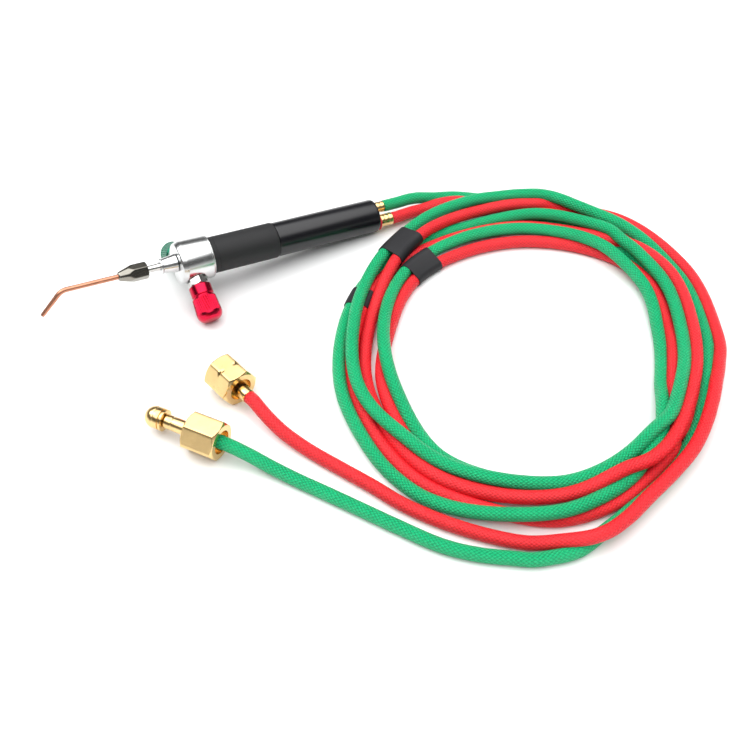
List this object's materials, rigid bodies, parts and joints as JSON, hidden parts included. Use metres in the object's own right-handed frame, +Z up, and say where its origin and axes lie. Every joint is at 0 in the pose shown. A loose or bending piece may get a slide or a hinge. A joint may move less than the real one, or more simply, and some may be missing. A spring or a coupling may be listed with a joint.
{
  "type": "lampwork torch with coiled hoses",
  "caption": "Small hand-held gas torch with a bent copper tip, knurled valve knobs, a black handle and a coiled pair of braided hoses with brass union nuts.",
  "frame": {"origin": "on the surface the object lies on, below the middle of the torch without its hoses", "axes": "+X along the torch from its tip to the hose end of its handle, +Y to the side of the green valve knob, +Z up"},
  "size_m": [0.3152, 0.268, 0.0329],
  "materials": {
    "tip_tube": "drawn copper, polished, faint heat tint",
    "tip_collar": "turned copper",
    "tip_nut": "nickel plated, bright",
    "neck_tube": "nickel plated, bright",
    "nose_cone": "turned and polished",
    "head_body": "turned and polished",
    "mixer_insert": "turned",
    "red_packing_nut": "nickel plated, machined",
    "green_packing_nut": "nickel plated, machined",
    "red_valve_knob": "red anodised, knurled",
    "green_valve_knob": "green anodised, knurled",
    "red_valve_stem": "ground",
    "green_valve_stem": "ground",
    "red_stem_o_ring": "matte",
    "green_stem_o_ring": "matte",
    "red_knob_screw": "blackened",
    "green_knob_screw": "blackened",
    "grip_sleeve": "matte, finely knurled",
    "handle_tube": "satin black",
    "rear_plug": "matte",
    "oxygen_tube": "drawn copper",
    "fuel_tube": "drawn copper",
    "oxygen_barb": "turned",
    "fuel_barb": "turned",
    "oxygen_ferrule": "polished",
    "fuel_ferrule": "polished",
    "fuel_marker_ring": "satin",
    "green_hose_start": "braided",
    "red_hose_start": "braided",
    "hose_coil": "braided",
    "green_hose_end": "braided",
    "red_hose_end": "braided",
    "tape_band_1": "satin tape",
    "tape_band_2": "satin tape",
    "tape_band_3": "satin tape",
    "oxygen_end_ferrule": "polished",
    "fuel_end_ferrule": "polished",
    "oxygen_nipple": "turned",
    "fuel_nipple": "turned",
    "oxygen_nut": "machined, bright",
    "fuel_nut": "machined, bright, notched corners"
  },
  "bodies": {
    "torch_and_hoses": {"tip_nut": "tip_nut", "neck_tube": "neck_tube", "nose_cone": "nose_cone", "head_body": "head_body", "mixer_insert": "mixer_insert", "red_packing_nut": "red_packing_nut", "green_packing_nut": "green_packing_nut", "grip_sleeve": "grip_sleeve", "handle_tube": "handle_tube", "rear_plug": "rear_plug", "oxygen_tube": "oxygen_tube", "fuel_tube": "fuel_tube", "oxygen_barb": "oxygen_barb", "fuel_barb": "fuel_barb", "oxygen_ferrule": "oxygen_ferrule", "fuel_ferrule": "fuel_ferrule", "fuel_marker_ring": "fuel_marker_ring", "green_hose_start": "green_hose_start", "red_hose_start": "red_hose_start", "hose_coil": "hose_coil", "green_hose_end": "green_hose_end", "red_hose_end": "red_hose_end", "tape_band_1": "tape_band_1", "tape_band_2": "tape_band_2", "tape_band_3": "tape_band_3", "oxygen_end_ferrule": "oxygen_end_ferrule", "fuel_end_ferrule": "fuel_end_ferrule", "oxygen_nipple": "oxygen_nipple", "fuel_nipple": "fuel_nipple"},
    "tip": {"tip_tube": "tip_tube", "tip_collar": "tip_collar"},
    "red_valve_seal": {"red_stem_o_ring": "red_stem_o_ring"},
    "red_valve": {"red_valve_knob": "red_valve_knob", "red_valve_stem": "red_valve_stem", "red_knob_screw": "red_knob_screw"},
    "green_valve_seal": {"green_stem_o_ring": "green_stem_o_ring"},
    "green_valve": {"green_valve_knob": "green_valve_knob", "green_valve_stem": "green_valve_stem", "green_knob_screw": "green_knob_screw"},
    "oxygen_union_nut": {"oxygen_nut": "oxygen_nut"},
    "fuel_union_nut": {"fuel_nut": "fuel_nut"}
  },
  "joints": [
    {"name": "tip_swivel", "type": "hinge", "parent": "torch_and_hoses", "child": "tip", "pos_m": [-0.05843, 0, 0.02652], "axis": [0.9936, 0, -0.1132], "continuous": true},
    {"name": "red_valve_lift", "type": "slide", "parent": "torch_and_hoses", "child": "red_valve_seal", "axis": [-0.0566, -0.866, -0.4968], "range_m": [0, 0.0011]},
    {"name": "red_valve_turn", "type": "hinge", "parent": "red_valve_seal", "child": "red_valve", "pos_m": [-0.01878, 0, 0.0212], "axis": [-0.0566, -0.866, -0.4968], "range_deg": [0, 540]},
    {"name": "green_valve_lift", "type": "slide", "parent": "torch_and_hoses", "child": "green_valve_seal", "axis": [-0.0566, 0.866, -0.4968], "range_m": [0, 0.0011]},
    {"name": "green_valve_turn", "type": "hinge", "parent": "green_valve_seal", "child": "green_valve", "pos_m": [-0.01878, 0, 0.0212], "axis": [-0.0566, 0.866, -0.4968], "range_deg": [0, 540]},
    {"name": "oxygen_nut_slide", "type": "slide", "parent": "torch_and_hoses", "child": "oxygen_union_nut", "axis": [0.5948, -0.8039, 0], "range_m": [-0.0232, 0]},
    {"name": "fuel_nut_spin", "type": "hinge", "parent": "torch_and_hoses", "child": "fuel_union_nut", "pos_m": [-0.0317, -0.0668, 0.00873], "axis": [0.2368, -0.9715, 0], "continuous": true}
  ],
  "couplings": [
    {"joint": "red_valve_lift", "follows": "red_valve_turn", "m_per_rad": 0.00011141},
    {"joint": "green_valve_lift", "follows": "green_valve_turn", "m_per_rad": 0.00011141}
  ]
}
